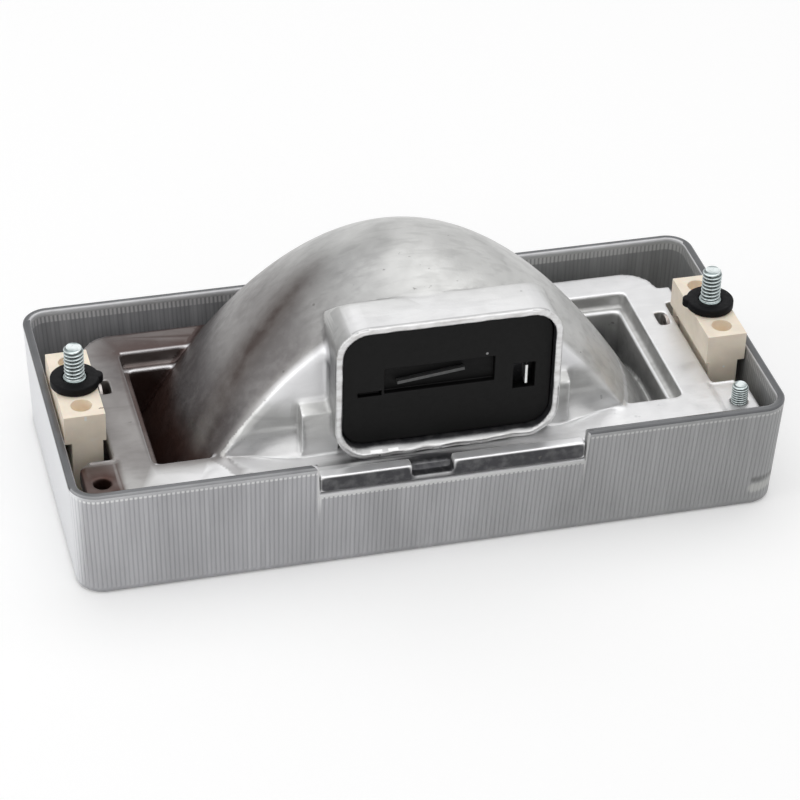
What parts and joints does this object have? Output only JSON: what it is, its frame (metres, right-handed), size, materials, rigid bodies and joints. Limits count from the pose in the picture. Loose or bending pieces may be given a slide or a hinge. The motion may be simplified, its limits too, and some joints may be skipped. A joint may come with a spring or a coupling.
{
  "type": "driving light",
  "caption": "Rectangular driving light: fluted glass lens tray, domed cast reflector housing with rear bulb box, and stud mounting blocks that rock on pins.",
  "frame": {"origin": "middle of the lamp's outline on the plane of its front face, which is the surface it rests on", "axes": "+X along the lamp's length, +Y away from the notch in the lens tray and the mouth of the bulb box, +Z towards the lamp's back"},
  "size_m": [0.216, 0.1, 0.08],
  "materials": {
    "lens_glass": "pressed clear glass, silvery grey where the flutes catch the light",
    "seal_rubber": "matt",
    "cast_aluminium": "raw die casting",
    "plated_steel": "nickel plated",
    "bulb_glass": "clear",
    "filament_wire": "bare wire",
    "spring_steel": "bright wire",
    "cover_plastic": "moulded black, matt",
    "contact_metal": "tinned",
    "block_plastic": "cream moulding",
    "zinc_steel": "zinc plated",
    "washer_rubber": "matt"
  },
  "bodies": {
    "lamp": {"lens": "lens_glass", "lens_seal": "seal_rubber", "reflector_housing": "cast_aluminium", "bulb_base": "plated_steel", "bulb_capsule": "bulb_glass", "bulb_filament": "filament_wire", "bulb_clip": "spring_steel", "bulb_cover": "cover_plastic", "cover_seal": "seal_rubber", "contact_strip": "contact_metal", "supply_blade": "contact_metal", "earth_blade": "contact_metal", "pivot_pin_left": "plated_steel", "pivot_pin_right": "plated_steel", "aim_screw": "zinc_steel"},
    "mount_left": {"block_left": "block_plastic", "stud_left": "zinc_steel", "washer_left": "washer_rubber"},
    "mount_right": {"block_right": "block_plastic", "stud_right": "zinc_steel", "washer_right": "washer_rubber"}
  },
  "joints": [
    {"name": "aim_left", "type": "hinge", "parent": "lamp", "child": "mount_left", "pos_m": [-0.0981, 0.012, 0.0276], "axis": [1, 0, 0], "range_deg": [-6, 6]},
    {"name": "aim_right", "type": "hinge", "parent": "lamp", "child": "mount_right", "pos_m": [0.0981, 0.012, 0.0276], "axis": [1, 0, 0], "range_deg": [-6, 6]}
  ]
}
